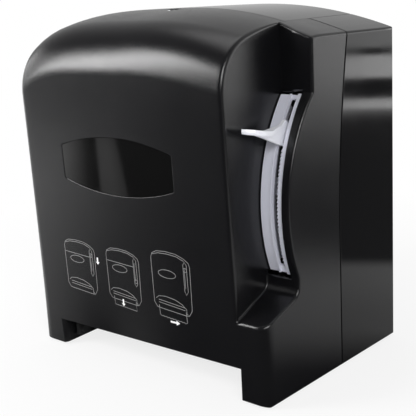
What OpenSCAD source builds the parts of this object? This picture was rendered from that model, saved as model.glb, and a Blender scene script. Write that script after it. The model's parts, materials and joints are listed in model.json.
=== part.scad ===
// Lever paper towel dispenser for a wall or a shelf, with a drop-front cover.
// Millimetres. X points to the lever side, the front faces -Y, Z is up.
// The base of the pads is at z = 0 and the body is centred on the origin.

/* [Body] */
// Width across the front bottom edge
front_w = 343.4; // [330:0.2:356]
// Width across the back
back_w = 377.4; // [368:0.2:390]
// Depth from the front bottom edge to the back
body_d = 236; // [230:1:250]
// Height of the side walls
side_h = 364; // [355:1:380]
// Rise of the arched top above the side walls
crown_h = 32; // [22:0.2:38]
// Forward lean of the front face, mm per mm of height
front_lean = 0.0314; // [0.02:0.0002:0.045]
// Radius of the bend from the front face to the top
brow_r = 56; // [40:1:62]
// Radius of the long curve over the top
top_r = 315; // [240:1:360]
// Distance from the front at which the top curve runs level
top_level_y = 110; // [100:1:120]
// Wall thickness of the moulded shells
wall = 2.5; // [2:0.1:3]
// Height of the rubber pads under the body
pad_h = 2.5; // [1.5:0.1:4]

/* [Cover seam] */
// Distance from the front to the side seam
seam_y = 127; // [120:1:134]
// Height at which the side seam starts to sweep back
seam_bend_z = 150; // [120:1:180]
// Radius of the sweep of the side seam
seam_r = 1217; // [1000:1:1500]
// Distance from the front to the seam across the top
top_seam_y = 99; // [94:1:106]
// Half width of the tongue that meets the cover on top
tongue_half = 135; // [120:1:138]
// Gap along the seams
seam_gap = 1.4; // [1.2:0.1:1.8]
// Angle through which the cover drops open
cover_open = 95; // [60:1:100]

/* [Window] */
// Width of the window
window_w = 165.8; // [120:1:180]
// Height of the window at its ends
window_end_h = 38.4; // [30:1:46]
// Rise of the arched window edges
window_rise = 13; // [6:0.5:18]
// Centre of the window across the cover
window_x = -17.8; // [-30:0.2:0]
// Centre height of the window
window_z = 232; // [215:1:250]
// Gap round the pane
window_gap = 0.3; // [0.2:0.05:0.5]

/* [Lever recess] */
// Distance from the centre line to the wall of the recess
recess_x = 135.4; // [134:0.2:138]
// Distance from the face of the guide strip forward to the lip of the recess
lip_step = 5; // [4:0.5:7]
// Radius of the scoop at the back of the recess floor
scoop_r = 14; // [8:1:16]
// Slope of the recess floor, mm per mm
floor_slope = 0.37; // [0.25:0.01:0.45]
// Depth of the upper back wall at the inner end
upper_wall_in_y = 90; // [87:0.5:94]
// Depth of the upper back wall at the outer end
upper_wall_out_y = 78; // [75:0.5:84]

/* [Lever and guide] */
// Distance from the back to the lever shaft
pivot_back = 18; // [18:0.5:20]
// Height of the lever shaft
pivot_z = 190.5; // [187:0.5:194]
// Distance from the front to the face of the guide strip, level with the shaft
guide_face_y = 44.5; // [44:0.5:46]
// Width of the guide strip
guide_w = 27.7; // [26:0.1:28.5]
// Gap between the guide strip and the cover
guide_gap = 1; // [0.6:0.1:1.4]
// Lower end of the guide strip, degrees
guide_low = -22.4; // [-23:0.2:-22]
// Upper end of the guide strip, degrees
guide_high = 41.2; // [40:0.2:42]
// Width of the slot for the lever
slot_w = 7; // [6.6:0.1:7.6]
// Pitch of the ratchet teeth along the slot
tooth_pitch = 4; // [3:0.25:6]
// Depth of the ratchet teeth
tooth_d = 2; // [1:0.1:2.2]
// Thickness of the lever arm
arm_t = 3.8; // [3:0.1:4]
// Angle of the lever above the shaft at rest
lever_rest = 27; // [25:0.5:28]
// Travel of the lever, degrees
lever_travel = 40; // [30:1:40]
// Width of the finger paddle
paddle_w = 20; // [14:1:24]
// Thickness of the finger paddle
paddle_t = 5; // [4:0.5:6]
// Distance from the front to the tip of the paddle
paddle_tip_y = 6; // [2:1:12]
// Radius of the lever shaft
lever_shaft_r = 6; // [5:0.5:7]

/* [Drive] */
// Gear module
gear_m = 2; // [2:0.5:2]
// Teeth of a full wheel of the lever sector
sector_n = 120; // [116:1:124]
// Teeth of the pinion
pinion_n = 16; // [15:1:18]
// Direction from the lever shaft to the drive roller, degrees below the front
drive_dir = 50; // [49:0.5:51]
// Radius of the rubber drive rollers
drive_r = 19; // [17:0.5:21]
// Radius of the pinch rollers
pinch_r = 11; // [9:0.5:12]
// Radius of the drive shaft
drive_shaft_r = 4; // [3:0.5:5]
// Radius of the pinch shaft
pinch_shaft_r = 3; // [2.5:0.5:4]
// Radial play of shafts in their bearings
running = 0.06; // [0.04:0.01:0.08]
// Number of rubber sleeves on each shaft
sleeve_n = 4; // [2:1:5]
// Length of each rubber sleeve
sleeve_l = 34; // [24:1:40]

/* [Frame] */
// Distance from the centre line to the outer face of the side plates
plate_x = 131.6; // [130:0.2:132]
// Thickness of the side plates
plate_t = 3; // [2.5:0.1:4]
// Height of the roll centre
roll_z = 235; // [230:1:240]
// Depth of the roll centre from the front
roll_y = 125; // [120:1:130]
// Width of the paper roll
roll_w = 203; // [195:1:210]
// Radius of the plugs that enter the roll core
plug_r = 18; // [16:0.5:20]
// Length of the plugs
plug_l = 15; // [12:1:20]
// Radius of the cover hinge pins
hinge_r = 3; // [2.5:0.5:4]
// Distance from the front to the cover hinge
hinge_y = 25; // [22:1:28]
// Height of the cover hinge
hinge_z = 12; // [10:1:14]
// Height of the paper opening in the front
notch_h = 36; // [30:1:42]
// Distance from the centre line to the walls of the paper opening
notch_half = 134; // [134:0.2:136]
// Radius at the front corners of the paper opening
notch_r = 8; // [4:1:10]
// Distance between the wall screws, sideways
screw_dx = 200; // [160:5:220]
// Distance between the wall screws, upwards
screw_dz = 240; // [200:5:260]
// Radius of the wall screw holes
screw_r = 3; // [2:0.25:3.5]

/* [Hidden] */
$fn = 48;
eps = 0.01;
seat = 0.3;
black = [0.07, 0.07, 0.08];
soft_black = [0.11, 0.11, 0.12];
white = [0.9, 0.9, 0.94];
grey = [0.45, 0.46, 0.48];
steel = [0.72, 0.73, 0.75];
rubber = [0.16, 0.16, 0.17];

// Shape of the body: stations across it, each a side profile.
STATIONS = [-1, -0.992, -0.975, -0.95, -0.92, -0.86, -0.76, -0.6, -0.3, 0, 0.25, 0.45, 0.62, 0.77, 0.92,
    0.95, 0.975, 0.992, 1];
edge_start = 0.92;
edge_foot = 6;
edge_brow = 26;
edge_bend = 23;
// The left shoulder stands fuller than the one on the lever side.
crown_left = 5;
crown_right = 2.1;
taper = (back_w - front_w) / 2 / body_d;
// The front face leans out most at the brow.
front_reach = -min([for (p = side_profile(0, 0)) p[0]]);
y_mid = (body_d - front_reach) / 2;

// Lever shaft and guide strip
pivot_y = body_d - pivot_back;
guide_r = pivot_y - guide_face_y;
lip_r = guide_r + lip_step;

// Gear positions
centre_r = gear_m * (sector_n + pinion_n) / 2;
drive_y = pivot_y - centre_r * cos(drive_dir);
drive_z = pivot_z - centre_r * sin(drive_dir);
pinch_dir = 10;
pinch_reach = drive_r + pinch_r + seat;
pinch_y = drive_y - pinch_reach * cos(pinch_dir);
pinch_z = drive_z - pinch_reach * sin(pinch_dir);
gear_t = 5;

// Lever places, from the inside of the recess outwards
guide_x = recess_x + guide_gap + 0.4;
slot_x = guide_x + 14.2;
arm_x = slot_x + 0.6;
gear_x = guide_x + 4.4;
hub_r = 13;
collar_r = guide_r - 6.5;

// Inner faces of the body
back_in = body_d - wall;
plate_in = plate_x - plate_t;
arm_pivot_z = roll_z - 95;
arm_in = roll_w / 2 + 8;

function side_k(s) = max(0, (abs(s) - edge_start) / (1 - edge_start));
function round_k(s) = 1 - sqrt(1 - pow(side_k(s), 2));
function crown(s) = crown_h * (1 - pow(abs(s), s < 0 ? crown_left : crown_right));
function half_w(y) = front_w / 2 + taper * y;
function seam_at(z) = z < seam_bend_z ? seam_y
    : seam_y + seam_r - sqrt(pow(seam_r, 2) - pow(z - seam_bend_z, 2));
function on_arc(c, r, a) = [c[0] + r * cos(a), c[1] + r * sin(a)];
// A point at radius r and angle a above the front, seen from the lever shaft
function from_shaft(r, a) = [pivot_y - r * cos(a), pivot_z + r * sin(a)];

// Side profile at station s, set in by t, as [y, z] points.
function side_profile(s, t) =
    let (k = round_k(s),
        lean = front_lean - edge_brow / side_h * k,
        foot = edge_foot * k + t,
        r = brow_r + edge_bend * k - t,
        big = top_r - t,
        top = side_h + crown(s) - t,
        a = atan(lean),
        zc = top - big,
        b = foot + r / cos(a) - top_level_y,
        q = pow(big - r, 2),
        m = 1 + lean * lean,
        h = lean * b + zc,
        cz = (h + sqrt(h * h - m * (b * b + zc * zc - q))) / m,
        cy = foot + r / cos(a) - lean * cz,
        a0 = 180 + a,
        a1 = 90 + atan((top_level_y - cy) / (cz - zc)),
        n = 10)
    concat(
        [[foot - lean * t, t]],
        [for (i = [0:n]) on_arc([cy, cz], r, a0 + (a1 - a0) * i / n)],
        [for (i = [1:6]) on_arc([top_level_y, zc], big, a1 + (90 - a1) * i / 6)],
        [[body_d - t, top], [body_d - t, t]]);

// Moves from body measures to the part's own frame.
module seated() translate([0, -y_mid, pad_h]) children();

// Extrudes a [y, z] outline from x0 to x1.
module across(x0, x1) translate([x0, 0, 0]) rotate([90, 0, 90]) linear_extrude(x1 - x0) children();

// A round bar along X.
module bar(y, z, r, x0, x1) translate([x0, y, z]) rotate([0, 90, 0]) cylinder(r = r, h = x1 - x0);

// Sweeps a [radius, x] outline about the lever shaft from angle a0 to a1.
module swept(a0, a1)
    translate([0, pivot_y, pivot_z]) rotate([-90, 0, 0]) rotate([0, 90, 0]) rotate([0, 0, -a1])
        rotate_extrude(angle = a1 - a0, $fn = 180) children();

module ring_box(r0, r1, x0, x1) translate([r0, x0]) square([r1 - r0, x1 - x0]);

// The whole outer form, set in by t on every side.
module body_form(t)
    hull()
        for (s = STATIONS)
            let (f = s * (1 - t / (front_w / 2)))
            multmatrix([[1, f * taper * 1, 0, f * front_w / 2], [0, 1, 0, 0], [0, 0, 1, 0], [0, 0, 0, 1]])
                rotate([90, 0, 90]) linear_extrude(eps) polygon(side_profile(s, t));

// Everything in front of the side seam, less a gap g.
module seam_side(g) {
    n = 12;
    z1 = side_h + crown_h + 20;
    across(-back_w, back_w)
        polygon(concat([[-80, -20], [seam_y - g, -20], [seam_y - g, seam_bend_z]],
            [for (i = [1:n]) let (z = seam_bend_z + (z1 - seam_bend_z) * i / n) [seam_at(z) - g, z]],
            [[-80, z1]]));
}

module tongue_zone(g)
    translate([-tongue_half - g, top_seam_y - g, side_h - 30])
        cube([2 * (tongue_half + g), body_d, crown_h + 60]);

// Air of the lever recess in the [y, z] plane.
module recess_outline() {
    low = from_shaft(lip_r, guide_low);
    c = [low[0] - scoop_r, low[1] - 7];
    tilt = atan(floor_slope);
    foot = on_arc(c, scoop_r, tilt - 90);
    front = -60;
    n = 6;
    m = 18;
    top = from_shaft(lip_r, guide_high);
    polygon(concat(
        [[front, foot[1] - (foot[0] - front) * floor_slope], foot],
        [for (i = [1:n]) on_arc(c, scoop_r, (tilt - 90) * (1 - i / n))],
        [for (i = [0:m]) from_shaft(lip_r, guide_low + (guide_high - guide_low) * i / m)],
        [[top[0], side_h + crown_h + 20], [front, side_h + crown_h + 20]]));
}

module upper_wall_plan()
    polygon([[recess_x, -60], [back_w, -60], [back_w, upper_wall_out_y - 2],
        [half_w(80), upper_wall_out_y], [recess_x, upper_wall_in_y]]);

// Air of the recess, grown by g.
module recess_air(g) {
    across(recess_x - g, back_w) offset(delta = g) recess_outline();
    translate([0, 0, from_shaft(lip_r, guide_high)[1] - g])
        linear_extrude(side_h) offset(delta = g) upper_wall_plan();
}

module notch_plan() {
    n = 6;
    c = notch_half + notch_r;
    right = concat([[c, -60]],
        [for (i = [0:n]) [c - notch_r * sin(90 * i / n), notch_r - 2 - notch_r * cos(90 * i / n)]],
        [[notch_half, body_d]]);
    polygon(right);
    mirror([1, 0]) polygon(right);
    translate([-notch_half - eps, -60]) square([2 * notch_half + 2 * eps, body_d + 60]);
}

// Air under the front, where the towel comes out, grown by g.
module notch_air(g)
    translate([0, 0, -20]) linear_extrude(notch_h + g + 20) offset(delta = g) notch_plan();

module window_shape(g) {
    r = (pow(window_w / 2, 2) + pow(window_rise, 2)) / (2 * window_rise);
    up = window_end_h / 2 + window_rise - r;
    offset(delta = -g)
        translate([window_x, window_z])
            intersection() {
                square([window_w, 2 * window_end_h + 4 * window_rise], center = true);
                translate([0, up]) circle(r = r, $fn = 180);
                translate([0, -up]) circle(r = r, $fn = 180);
            }
}

// A slab that follows the leaning front, from depth d0 to d1 behind its face.
module front_slab(d0, d1) {
    z0 = window_z - 60;
    z1 = window_z + 60;
    across(-front_w / 2, front_w / 2)
        polygon([[d0 - front_lean * z0, z0], [d1 - front_lean * z0, z0],
            [d1 - front_lean * z1, z1], [d0 - front_lean * z1, z1]]);
}

module through_front(g) rotate([90, 0, 0]) translate([0, 0, -30]) linear_extrude(80) window_shape(g);

// ---- Shells ----

module rear_housing() color(black) seated() {
    difference() {
        body_form(0);
        body_form(wall);
        difference() {
            seam_side(0);
            tongue_zone(-seam_gap / 2);
        }
        translate([-notch_half, -60, -10]) cube([2 * notch_half, 60 + pinch_y + 60, 20]);
        for (x = [-1, 1], z = [-1, 1])
            translate([x * screw_dx / 2, body_d - 20, roll_z - 45 + z * screw_dz / 2])
                rotate([-90, 0, 0]) cylinder(r = screw_r, h = 40);
    }
    housing_lip();
}

// A lip inside the seam that the cover closes over.
module housing_lip() {
    lip_t = 1.8;
    lip_play = 0.4;
    reach = 7;
    difference() {
        union() {
            difference() {
                body_form(wall + lip_play);
                seam_side(reach);
                translate([0, reach, 0]) seam_back();
            }
            difference() {
                body_form(wall - 0.1);
                seam_side(-0.5);
                translate([0, reach, 0]) seam_back();
            }
        }
        body_form(wall + lip_play + lip_t);
        // Open near the base, where the foot of the cover swings up past the seam
        translate([-back_w, -100, -10]) cube([2 * back_w, 3 * body_d, 62]);
        translate([-tongue_half, 0, 0]) cube([2 * tongue_half, body_d, 2 * side_h]);
    }
}

// Everything behind the side seam.
module seam_back()
    difference() {
        translate([-back_w, -80, -30]) cube([2 * back_w, 2 * body_d, 2 * side_h]);
        seam_side(0);
    }

module front_cover() color(soft_black) seated() {
    difference() {
        body_form(0);
        difference() {
            body_form(wall);
            recess_air(wall);
            notch_air(wall);
            guide_collar();
            lock_boss();
        }
        recess_air(0);
        notch_air(0);
        guide_cutout();
        tongue_zone(0);
        translate([0, -seam_gap, 0]) seam_back();
        translate([-notch_half, wall + 2, 10]) cube([2 * notch_half, body_d, notch_h + 12]);
        through_front(0);
        for (x = [-1, 1]) bar(hinge_y, hinge_z, hinge_r + running, x * (notch_half + 1) - 6, x * (notch_half + 1) + 6);
        lock_hole();
    }
}

// Collars that run back along both sides of the guide strip.
module guide_collar()
    swept(guide_low, guide_high) ring_box(collar_r, lip_r + 1, recess_x - wall, guide_x + guide_w + guide_gap + wall);

module guide_cutout() {
    x0 = recess_x;
    x1 = guide_x + guide_w + guide_gap;
    low = from_shaft(guide_r, guide_low);
    top = from_shaft(guide_r, guide_high);
    swept(guide_low - 1, guide_high + 0.6) ring_box(collar_r - 4, lip_r + 2, x0, x1);
    translate([x0, low[0] - 16, low[1] - 2.5]) cube([x1 - x0, 34, 16]);
    translate([x0, top[0] - 6, top[1] - 12]) cube([x1 - x0, 30, 14.2]);
}

module window_pane() color([0.05, 0.05, 0.06, 0.6]) seated() {
    intersection() {
        front_slab(0.15, wall);
        through_front(window_gap);
    }
    intersection() {
        front_slab(wall + 0.05, wall + 1.6);
        through_front(-4);
    }
    intersection() {
        front_slab(wall - eps, wall + 0.1);
        through_front(window_gap);
    }
}

pad_w = 18;
pad_l = 24;
module pad() translate([0, 0, pad_h / 2]) cube([pad_w, pad_l, pad_h], center = true);

module cover_pads() color(rubber)
    for (x = [-1, 1])
        translate([x * (notch_half + notch_r + pad_w / 2 + 1), edge_foot + pad_l / 2 + 2 - y_mid, 0]) pad();

module housing_pads() color(rubber)
    for (x = [-1, 1])
        translate([x * (notch_half + notch_r + pad_w / 2 + 1), body_d - pad_l / 2 - 8 - y_mid, 0]) pad();

// ---- Frame ----

module plate_outline()
    union() {
        polygon([[hinge_y - 9, hinge_z - 6], [hinge_y + 8, hinge_z - 9], [60, 16], [110, 30], [back_in, 30],
            [back_in, 330], [back_in - 43.5, 342], [roll_y + 25, 342], [roll_y - 7, 300], [roll_y - 21, 150],
            [pinch_y - 16.7, 110], [pinch_y - 38.7, 62], [hinge_y - 9, hinge_z + 8]]);
        translate([hinge_y, hinge_z]) circle(r = 9);
    }

module side_plate(x0, x1) {
    difference() {
        union() {
            across(x0, x1) plate_outline();
            bar(roll_y, roll_z, 26, x0, x1);
        }
        for (p = [[drive_y, drive_z, drive_shaft_r + 3], [pinch_y, pinch_z, pinch_shaft_r + 2],
                [hinge_y, hinge_z, hinge_r]])
            bar(p[0], p[1], p[2], x0 - 1, x1 + 1);
        for (p = TIES) bar(p[0], p[1], tie_screw_r, x0 - 1, x1 + 1);
        across(x0 - 1, x1 + 1) plate_window();
    }
}

// Lightening window below the roll seat, with round corners.
module plate_window()
    hull() for (p = [[142, 118], [196, 118], [196, 150], [142, 150]]) translate(p) circle(r = 8);

TIES = [[back_in - 23.5, 50], [back_in - 11.5, 322], [back_in - 61.5, 44]];
tie_r = 5;
tie_screw_r = 2;

module side_plate_left() color(grey) seated() side_plate(-plate_x, -plate_in);

// The right plate also reaches forward to carry the guide strip.
module side_plate_right() color(grey) seated() difference() {
    union() {
        side_plate(plate_in, plate_x);
        swept(GUIDE_FEET[0] - 5, GUIDE_FEET[2] + 5) ring_box(foot_r - 40, foot_r + 8, plate_in, plate_x);
    }
    bar(pivot_y, pivot_z, lever_shaft_r - 2, plate_in - 1, plate_x + 1);
    for (a = GUIDE_FEET)
        bar(from_shaft(foot_r, a)[0], from_shaft(foot_r, a)[1], guide_screw_r, plate_in - 1, plate_x + 1);
}

module tie_rods() color(steel) seated()
    for (p = TIES) difference() {
        bar(p[0], p[1], tie_r, -plate_in, plate_in);
        for (x = [-1, 1]) bar(p[0], p[1], tie_screw_r, x * plate_in - 9, x * plate_in + 9);
    }

module tie_screws() color(steel) seated()
    for (p = TIES, s = [0, 1]) mirror([s, 0, 0]) {
        bar(p[0], p[1], tie_screw_r, plate_in - 8, plate_x + eps);
        bar(p[0], p[1], 2 * tie_screw_r, plate_x, plate_x + 1.2);
    }

module hinge_pins() color(steel) seated()
    for (s = [0, 1]) mirror([s, 0, 0]) {
        bar(hinge_y, hinge_z, hinge_r, plate_in - 3, notch_half + wall + 2);
        bar(hinge_y, hinge_z, hinge_r + 2, plate_in - 4.5, plate_in);
    }

guide_front = pinch_y - 46.7;
module front_guide() color(black) seated()
    difference() {
        across(-plate_in, plate_in)
            polygon([for (p = [[-46.7, -35], [-38.7, -39], [-30.7, -37], [-12.7, -21], [-10.7, -13], [-16.7, -13],
                [-32.7, -29], [-40.7, -29], [-42.7, -21], [-46.7, -21]]) [pinch_y, pinch_z] + p]);
        for (i = [-2:2]) translate([i * 50 - 4, guide_front - 4, pinch_z - 27]) cube([8, 12, 10]);
    }

// Serrated blade that the towel is torn against.
module tear_bar() color(steel) seated() {
    n = 60;
    w = 2 * plate_in - 12;
    low = pinch_z - 37;
    translate([0, guide_front, 0]) rotate([90, 0, 0]) linear_extrude(1.2)
        polygon(concat([[-w / 2, low + 16], [-w / 2, low]],
            [for (i = [0:2 * n]) [-w / 2 + w * i / (2 * n), i % 2 == 0 ? low : low - 4]],
            [[w / 2, low + 16]]));
}

// A curved guide behind the drive roller, on ribs.
module paper_chute() color(black) seated() {
    c = [drive_y, drive_z];
    r0 = drive_r + 4;
    r1 = drive_r + 6;
    low = [c[0] - 10, 44];
    translate([-plate_in, c[0], c[1]]) rotate([90, 0, 90]) rotate([0, 0, -105])
        rotate_extrude(angle = 85) translate([r0, 0]) square([r1 - r0, 2 * plate_in]);
    across(-plate_in, plate_in)
        polygon([on_arc(c, r0 + 1, -104), low, low + [2, 0], on_arc(c, r0 + 1, -98)]);
    for (i = [-2:2]) across(50 * i - 1, 50 * i + 1)
        polygon(concat([for (a = [-40:-10:-90]) on_arc(c, r1 - 0.8, a)],
            [low + [1, 2], low + [14, 0], low + [38, 5]]));
}

module drive_bushes() color(white) seated()
    for (s = [0, 1]) mirror([s, 0, 0]) difference() {
        union() {
            bar(drive_y, drive_z, drive_shaft_r + 3, plate_in - 1, plate_x);
            bar(drive_y, drive_z, drive_shaft_r + 5, plate_in - 2.5, plate_in);
        }
        bar(drive_y, drive_z, drive_shaft_r + running, plate_in - 5, plate_x + 5);
    }

module pinch_bushes() color(white) seated()
    for (s = [0, 1]) mirror([s, 0, 0]) difference() {
        union() {
            bar(pinch_y, pinch_z, pinch_shaft_r + 2, plate_in - 1, plate_x);
            bar(pinch_y, pinch_z, pinch_shaft_r + 4, plate_in - 2.5, plate_in);
        }
        bar(pinch_y, pinch_z, pinch_shaft_r + running, plate_in - 5, plate_x + 5);
    }

// ---- Lever ----

module guide_teeth() {
    step = tooth_pitch / guide_r * 180 / PI;
    x1 = slot_x + slot_w;
    from = guide_low + 3.4;
    n = floor((lever_rest - 5 - from) / step);
    for (i = [0:n - 1])
        translate([0, pivot_y, pivot_z]) rotate([-90, 0, 0]) rotate([0, 90, 0]) rotate([0, 0, -(from + i * step)])
            translate([guide_r - 3, 0, 0]) rotate([90, 0, 90]) linear_extrude(3 - eps)
                polygon([[0, x1 + 0.5], [-tooth_pitch, x1 + 0.5], [-tooth_pitch, x1], [0, x1 - tooth_d]]);
}

module lever_guide() color(white) seated() {
    x1 = guide_x + guide_w;
    difference() {
        swept(guide_low, guide_high) union() {
            ring_box(guide_r - 3, guide_r, guide_x, x1);
            ring_box(guide_r - 1, guide_r + 1.6, slot_x - 2, slot_x);
            ring_box(guide_r - 1, guide_r + 2.2, slot_x + slot_w + 1.2, x1);
            ring_box(guide_r - 24, guide_r, guide_x, guide_x + 1.6);
            ring_box(guide_r - 12, guide_r, x1 - 1.6, x1);
        }
        swept(guide_low + 2.8, guide_high + 1) ring_box(guide_r - 8, guide_r + 8, slot_x, slot_x + slot_w);
    }
    // A bridge across the top of the slot, behind the arm's path
    swept(guide_high - 1.6, guide_high) ring_box(guide_r - 3, guide_r - 0.5, slot_x - 1, slot_x + slot_w + 1);
    guide_teeth();
    // Feet that stand on the side plate, with their screw holes
    difference() {
        for (a = GUIDE_FEET) swept(a - 3.4, a + 3.4) ring_box(guide_r - 34, guide_r - 20, plate_x, guide_x + 1.6);
        for (a = GUIDE_FEET) bar(from_shaft(foot_r, a)[0], from_shaft(foot_r, a)[1], guide_screw_r, plate_x - 5, guide_x + 5);
    }
}

GUIDE_FEET = [-15, 8, 32];
foot_r = guide_r - 27;
guide_screw_r = 1.6;

module guide_screws() color(steel) seated()
    for (a = GUIDE_FEET) {
        p = from_shaft(foot_r, a);
        bar(p[0], p[1], guide_screw_r, plate_in, guide_x + 1.6 + eps);
        bar(p[0], p[1], 2 * guide_screw_r, guide_x + 1.6, guide_x + 3);
    }

shaft_end = arm_x + arm_t + 6;
module lever_shaft() color(steel) seated() {
    bar(pivot_y, pivot_z, lever_shaft_r, plate_x, shaft_end);
    bar(pivot_y, pivot_z, lever_shaft_r - 2, plate_in - 2, plate_x + eps);
    bar(pivot_y, pivot_z, lever_shaft_r + 2, plate_in - 4, plate_in);
    bar(pivot_y, pivot_z, lever_shaft_r + 2, shaft_end, shaft_end + 1.5);
}

arm_low = lever_rest - 4.4;
arm_high = lever_rest + 4.2;

// Side outline of the arm and its blade in the [y, z] plane.
module arm_outline() {
    tip = paddle_tip_y;
    top = from_shaft(guide_r + 3, arm_high);
    low = from_shaft(guide_r + 3, arm_low);
    root = from_shaft(hub_r, lever_rest + 80);
    root_low = from_shaft(hub_r, lever_rest - 80);
    polygon([root, from_shaft(guide_r - 30, arm_high - 1), top, [top[0] - 8, top[1] - 4.6], [tip + 32, top[1] - 7],
        [tip + 10, top[1] - 3.2], [tip + 1, top[1] - 1], [tip, top[1] - 3], [tip + 6, top[1] - 6.5],
        [tip + 26, top[1] - 14], low, from_shaft(guide_r - 30, arm_low + 1), root_low]);
}

// The finger paddle: a bent plate, wide at its tip.
module paddle() {
    tip = paddle_tip_y;
    z = from_shaft(guide_r + 3, arm_high)[1];
    x = arm_x + arm_t / 2;
    intersection() {
        across(x - paddle_w, x + paddle_w)
            polygon([[tip, z - 3], [tip + 1, z - 1], [tip + 10, z - 3.2], [tip + 32, z - 7], [tip + 54, z - 4.6],
                [tip + 60, z - 1], [tip + 60, z - 1 - paddle_t], [tip + 32, z - 7 - paddle_t],
                [tip + 10, z - 3.2 - paddle_t], [tip + 1, z - 1 - paddle_t]]);
        translate([0, 0, z - 60]) linear_extrude(80)
            polygon([[x - paddle_w / 2 + 2, tip], [x - paddle_w / 2, tip + 3], [x - paddle_w / 2 + 1, tip + 16],
                [x - 4, tip + 40], [x - arm_t / 2 - 0.3, tip + 56], [x - arm_t / 2, tip + 60], [x + arm_t / 2, tip + 60],
                [x + arm_t / 2 + 0.3, tip + 56], [x + 4, tip + 40], [x + paddle_w / 2 - 1, tip + 16],
                [x + paddle_w / 2, tip + 3], [x + paddle_w / 2 - 2, tip]]);
    }
}

module lever_arm() color(white) seated()
    difference() {
        union() {
            across(arm_x, arm_x + arm_t) arm_outline();
            paddle();
            bar(pivot_y, pivot_z, hub_r, gear_x + gear_t, shaft_end - 0.3);
        }
        bar(pivot_y, pivot_z, lever_shaft_r + running, gear_x - 2, shaft_end + 5);
        bar(from_shaft(pawl_r, pawl_a)[0], from_shaft(pawl_r, pawl_a)[1], pawl_pin_r, arm_x - 1, arm_x + arm_t + 1);
    }

// One trapezoid tooth on a wheel of n teeth, pointing along +X.
module tooth(n) {
    r = gear_m * n / 2;
    w = 90 / n * 0.92;
    polygon([[(r - 1.25 * gear_m) * cos(w * 1.4), (r - 1.25 * gear_m) * sin(w * 1.4)],
        [r * cos(w), r * sin(w)], [r + gear_m * 0.9, gear_m * 0.35], [r + gear_m * 0.9, -gear_m * 0.35],
        [r * cos(w), -r * sin(w)], [(r - 1.25 * gear_m) * cos(w * 1.4), -(r - 1.25 * gear_m) * sin(w * 1.4)]]);
}

sector_step = 360 / sector_n;
sector_first = -drive_dir - 2 * sector_step;
sector_teeth = ceil(lever_travel / sector_step) + 5;

module sector_gear() color(grey) seated()
    difference() {
        union() {
            for (i = [0:sector_teeth - 1])
                translate([0, pivot_y, pivot_z]) rotate([-90, 0, 0]) rotate([0, 90, 0])
                    rotate([0, 0, -(sector_first + i * sector_step)])
                        translate([0, 0, gear_x]) linear_extrude(gear_t) tooth(sector_n);
            swept(sector_first - 0.3 * sector_step, sector_first + sector_teeth * sector_step)
                ring_box(centre_rim - 9, centre_rim, gear_x, gear_x + gear_t);
            for (a = [sector_first + 2, sector_first + (sector_teeth - 1) * sector_step / 2, sector_first + (sector_teeth - 2) * sector_step])
                swept(a - 2, a + 2) ring_box(hub_r - 4, centre_rim - 4, gear_x, gear_x + gear_t);
            bar(pivot_y, pivot_z, hub_r + 1, gear_x, gear_x + gear_t);
        }
        bar(pivot_y, pivot_z, lever_shaft_r + running, gear_x - 2, gear_x + gear_t + 2);
    }

centre_rim = gear_m * sector_n / 2 - 1.2 * gear_m;

pawl_pin_r = 1.5;
pawl_r = guide_r - 18;
pawl_a = lever_rest - 2;
module pawl() color(grey) seated() {
    x0 = arm_x + arm_t + 0.25;
    p = from_shaft(pawl_r, pawl_a);
    tip = from_shaft(guide_r - 4.2, pawl_a - 4.5);
    difference() {
        across(x0, x0 + 1.6)
            union() {
                translate(p) circle(r = 4);
                polygon([p + [-1, 3.6], p + [-3.8, -1.5], tip, tip + [5, -1], p + [3.6, -2]]);
            }
        bar(p[0], p[1], pawl_pin_r + running, x0 - 1, x0 + 5);
    }
}

module pawl_pin() color(steel) seated() {
    p = from_shaft(pawl_r, pawl_a);
    bar(p[0], p[1], pawl_pin_r, arm_x, arm_x + arm_t + 2.2);
    bar(p[0], p[1], pawl_pin_r + 1, arm_x + arm_t + 2.15, arm_x + arm_t + 3);
}

// A helical spring along X, as one unbroken tube.
module coil(r, wire, turns, length) {
    per = 12;
    sides = 6;
    n = turns * per;
    pts = [for (i = [0:n], j = [0:sides - 1])
        let (a = 360 * i / per, b = 360 * j / sides, q = r + wire * cos(b))
        [length * i / n + wire * sin(b), q * cos(a), q * sin(a)]];
    faces = concat(
        [[for (j = [0:sides - 1]) j]],
        [for (i = [0:n - 1], j = [0:sides - 1]) let (k = (j + 1) % sides)
            [i * sides + j, (i + 1) * sides + j, (i + 1) * sides + k]],
        [for (i = [0:n - 1], j = [0:sides - 1]) let (k = (j + 1) % sides)
            [i * sides + j, (i + 1) * sides + k, i * sides + k]],
        [[for (j = [sides - 1:-1:0]) n * sides + j]]);
    polyhedron(pts, faces);
}

spring_wire = 0.7;
module lever_spring() color(steel) seated()
    translate([plate_x + spring_wire + 0.1, pivot_y, pivot_z])
        coil(lever_shaft_r + 1.2, spring_wire, 5, gear_x - plate_x - 2 * spring_wire - 0.3);

// ---- Feed rollers ----

shaft_out = gear_x + gear_t + 3;
module drive_shaft() color(steel) seated() bar(drive_y, drive_z, drive_shaft_r, -plate_x - 2, shaft_out);

core_half = plate_in - 4;
module drive_core() color(grey) seated()
    difference() {
        union() {
            bar(drive_y, drive_z, drive_r - 4, -core_half, core_half);
            for (i = [0:sleeve_n]) let (x = (i - sleeve_n / 2) * sleeve_step)
                bar(drive_y, drive_z, drive_r - 2, x - 2, x + 2);
        }
        bar(drive_y, drive_z, drive_shaft_r, -core_half - 1, core_half + 1);
    }

sleeve_step = 2 * (core_half - 8) / sleeve_n;
module drive_sleeves() color(rubber) seated()
    for (i = [0:sleeve_n - 1]) let (x = (i + 0.5 - sleeve_n / 2) * sleeve_step) difference() {
        bar(drive_y, drive_z, drive_r, x - sleeve_l / 2, x + sleeve_l / 2);
        bar(drive_y, drive_z, drive_r - 4, x - sleeve_l, x + sleeve_l);
    }

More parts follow.
